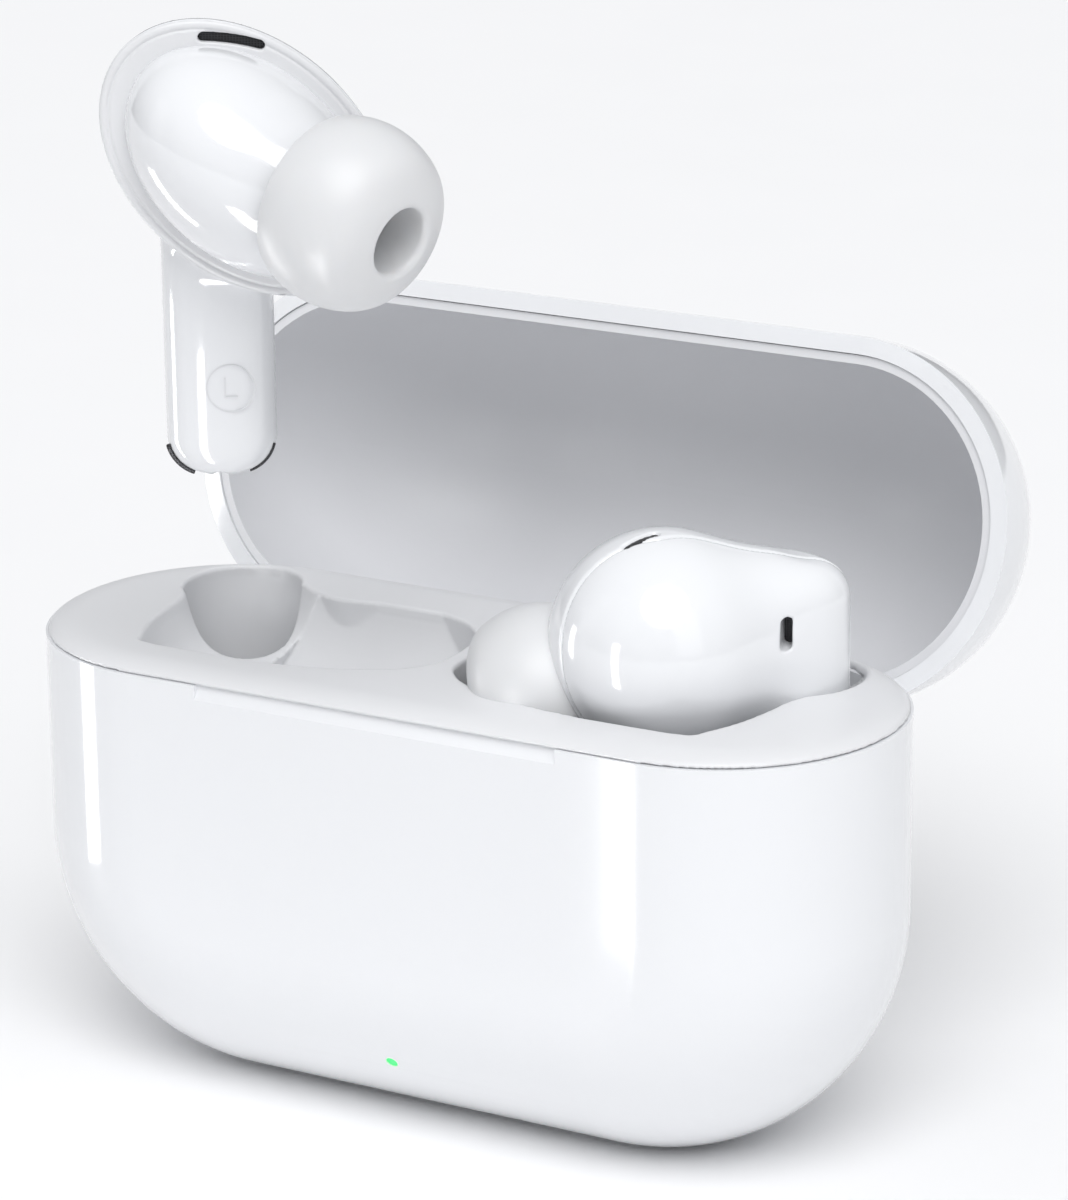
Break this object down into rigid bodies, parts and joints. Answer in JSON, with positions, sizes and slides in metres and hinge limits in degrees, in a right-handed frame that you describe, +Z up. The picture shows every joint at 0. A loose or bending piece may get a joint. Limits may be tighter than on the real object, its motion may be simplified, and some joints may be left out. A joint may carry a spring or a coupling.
{
  "type": "wireless earbuds case",
  "caption": "Pebble-shaped charging case with a hinged lid, satin pocket deck and two stemmed in-ear earbuds, one seated and one lifted.",
  "frame": {"origin": "middle of the charge port, level with the small flat under the case body", "axes": "+Z up, front of the case towards -Y, right-hand pocket towards +X"},
  "size_m": [0.0624, 0.062, 0.0772],
  "materials": {
    "gloss_white": "polished",
    "satin_white": "satin",
    "satin_grey": "satin",
    "silicone": "matte",
    "mesh_dark": "woven mesh",
    "mesh_grey": "woven mesh",
    "steel": "brushed",
    "gold": "polished",
    "board": "solder mask",
    "chip": "moulded",
    "flex": "polyimide",
    "cell": "foil pouch",
    "foam": "foam",
    "led_green": "clear tinted",
    "magnet": "nickel plated"
  },
  "bodies": {
    "case": {"case_front_shell": "gloss_white", "case_rear_shell": "gloss_white", "deck_tray": "satin_white", "battery_cell": "cell", "battery_foam": "foam", "main_board": "board", "charge_controller": "chip", "hall_sensor": "chip", "tact_switch": "chip", "usb_c_receptacle": "steel", "status_led": "led_green", "light_pipe": "led_green", "contact_flex": "flex", "left_charge_pins": "gold", "right_charge_pins": "gold", "left_pocket_magnet": "magnet", "right_pocket_magnet": "magnet", "case_latch_magnet": "magnet", "hinge_bracket": "steel", "hinge_pin": "steel", "hinge_spring": "steel", "hinge_screws": "steel"},
    "lid": {"lid_shell": "gloss_white", "lid_liner": "satin_grey", "lid_hinge_leaf": "satin_white", "lid_latch_magnet": "magnet"},
    "button": {"pairing_button": "gloss_white"},
    "right_bud": {"right_bud_housing": "gloss_white", "right_inner_housing": "gloss_white", "right_ear_tip": "silicone", "right_nozzle_mesh": "mesh_grey", "right_top_vent_mesh": "mesh_dark", "right_side_vent": "mesh_dark", "right_charge_pads": "gold", "right_bud_battery": "steel", "right_bud_driver": "steel", "right_bud_board": "board"},
    "left_bud": {"left_bud_housing": "gloss_white", "left_inner_housing": "gloss_white", "left_nozzle_mesh": "mesh_grey", "left_top_vent_mesh": "mesh_dark", "left_side_vent": "mesh_dark", "left_charge_pads": "gold", "left_bud_battery": "steel", "left_bud_driver": "steel", "left_bud_board": "board"},
    "left_tip": {"left_ear_tip": "silicone"}
  },
  "joints": [
    {"name": "lid_hinge", "type": "hinge", "parent": "case", "child": "lid", "pos_m": [0, 0.01094, 0.02823], "axis": [-1, 0, 0], "range_deg": [-105.7, 0]},
    {"name": "right_lift", "type": "slide", "parent": "case", "child": "right_bud", "axis": [0, 0, 1], "range_m": [0, 0.025]},
    {"name": "left_lift", "type": "slide", "parent": "case", "child": "left_bud", "axis": [0, 0, 1], "range_m": [0, 0.03]},
    {"name": "left_tip_pull", "type": "slide", "parent": "left_bud", "child": "left_tip", "axis": [0.9447, -0.1853, -0.2706], "range_m": [0, 0.006]},
    {"name": "pairing_press", "type": "slide", "parent": "case", "child": "button", "axis": [0, -1, 0], "range_m": [0, 0.00025], "stiffness_N_per_m": 400, "springref_m": -0.0004}
  ]
}
